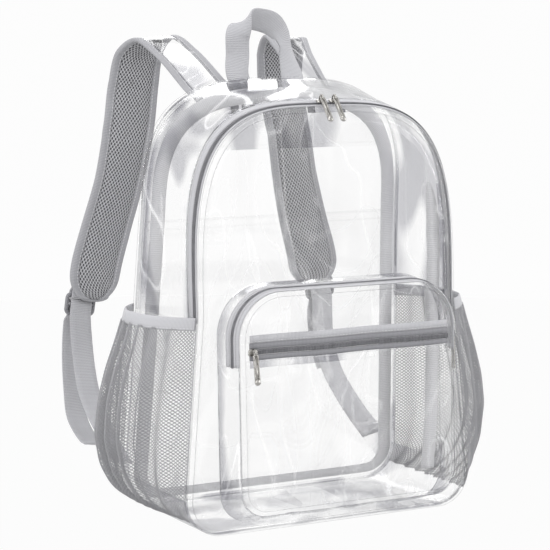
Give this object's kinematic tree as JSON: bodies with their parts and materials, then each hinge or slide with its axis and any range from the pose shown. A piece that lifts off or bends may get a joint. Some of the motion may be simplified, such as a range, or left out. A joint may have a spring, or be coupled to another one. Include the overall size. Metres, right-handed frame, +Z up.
{
  "type": "clear backpack",
  "caption": "Clear vinyl backpack with padded mesh shoulder straps, webbing haul handle, zipped front pocket, net side pockets and a curved main zip.",
  "frame": {"origin": "middle of the flat base's underside", "axes": "+Z up, -Y towards the front pocket, +X towards the wearer's left-hand strap seen from the front as right"},
  "size_m": [0.4276, 0.3471, 0.499],
  "materials": {
    "clear_vinyl": "clear and glossy",
    "gray_tape": "woven, matt",
    "webbing": "woven, matt",
    "spacer_mesh": "open knit, matt",
    "net": "open knit, matt",
    "coil": "moulded nylon",
    "buckle": "moulded, satin",
    "nickel": "plated, polished"
  },
  "bodies": {
    "bag": {"front_panel": "clear_vinyl", "back_panel": "clear_vinyl", "front_piping": "clear_vinyl", "back_piping": "clear_vinyl", "upper_gusset": "clear_vinyl", "side_panel_right": "clear_vinyl", "side_panel_left": "clear_vinyl", "bottom_panel": "clear_vinyl", "inner_sleeve": "clear_vinyl", "top_facing": "clear_vinyl", "pocket_gusset_upper": "clear_vinyl", "pocket_gusset_lower": "clear_vinyl", "pocket_piping": "clear_vinyl", "pocket_face_upper": "clear_vinyl", "pocket_face_lower": "clear_vinyl", "strap_cover_right": "clear_vinyl", "strap_cover_left": "clear_vinyl", "anchor_tab_right": "clear_vinyl", "anchor_tab_left": "clear_vinyl", "back_binding": "gray_tape", "front_binding": "gray_tape", "main_zip_tape_front": "gray_tape", "main_zip_tape_rear": "gray_tape", "pocket_zip_tape_rear": "gray_tape", "pocket_zip_tape_front": "gray_tape", "face_zip_tape_upper": "gray_tape", "face_zip_tape_lower": "gray_tape", "strap_binding_right": "gray_tape", "strap_binding_left": "gray_tape", "pocket_band_right": "webbing", "pocket_band_left": "webbing", "haul_handle": "webbing", "strap_loop_right": "webbing", "strap_loop_left": "webbing", "lower_webbing_right": "webbing", "lower_webbing_left": "webbing", "strap_pad_right": "spacer_mesh", "strap_pad_left": "spacer_mesh", "side_pocket_right": "net", "side_pocket_left": "net", "main_zip_coil": "coil", "pocket_zip_coil": "coil", "face_zip_coil": "coil", "buckle_right": "buckle", "buckle_left": "buckle", "main_slider_left": "nickel", "main_slider_right": "nickel", "pocket_slider": "nickel", "face_slider": "nickel"},
    "main_pull_left_tab": {"main_pull_left": "nickel"},
    "main_pull_right_tab": {"main_pull_right": "nickel"},
    "face_pull_tab": {"face_pull": "nickel"}
  },
  "joints": [
    {"name": "main_pull_left_swing", "type": "hinge", "parent": "bag", "child": "main_pull_left_tab", "pos_m": [-0.004, -0.05716, 0.41715], "axis": [-1, 0, 0], "range_deg": [0, 175]},
    {"name": "main_pull_right_swing", "type": "hinge", "parent": "bag", "child": "main_pull_right_tab", "pos_m": [0.0103, -0.05716, 0.41714], "axis": [-1, 0, 0], "range_deg": [0, 175]},
    {"name": "face_pull_swing", "type": "hinge", "parent": "bag", "child": "face_pull_tab", "pos_m": [-0.1085, -0.11553, 0.18128], "axis": [-1, 0, 0], "range_deg": [0, 170]}
  ]
}
